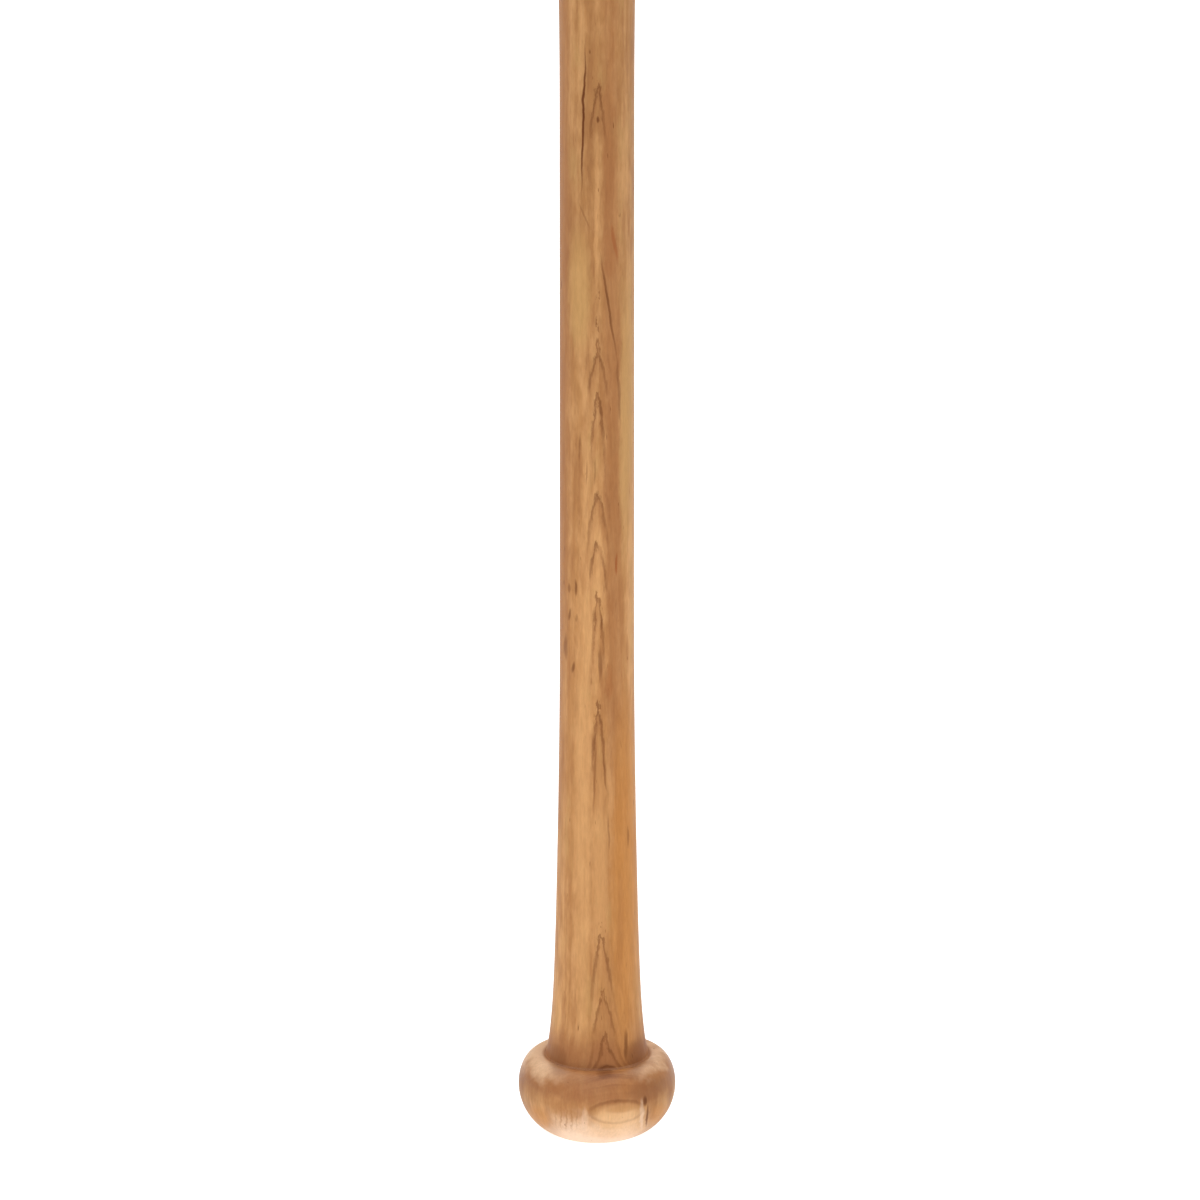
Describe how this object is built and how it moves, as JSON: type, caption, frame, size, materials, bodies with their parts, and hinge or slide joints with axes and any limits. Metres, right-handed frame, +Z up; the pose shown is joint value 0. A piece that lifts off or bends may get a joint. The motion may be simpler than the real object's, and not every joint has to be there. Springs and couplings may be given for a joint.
{
  "type": "baseball bat",
  "caption": "Solid wooden baseball bat with a round knob, a slim handle that flares into it, a long taper and a thick barrel with a cupped end, in bare satin wood.",
  "frame": {"origin": "centre of the knob's flat underside, on the bat's axis", "axes": "+Z up the bat's axis from the knob to the barrel end; X and Y square to it"},
  "size_m": [0.0635, 0.0634, 0.8636],
  "materials": {
    "bat_wood": "satin clear coat over bare, tangentially sawn hardwood"
  },
  "bodies": {
    "root": {"wooden_bat": "bat_wood"}
  },
  "joints": []
}
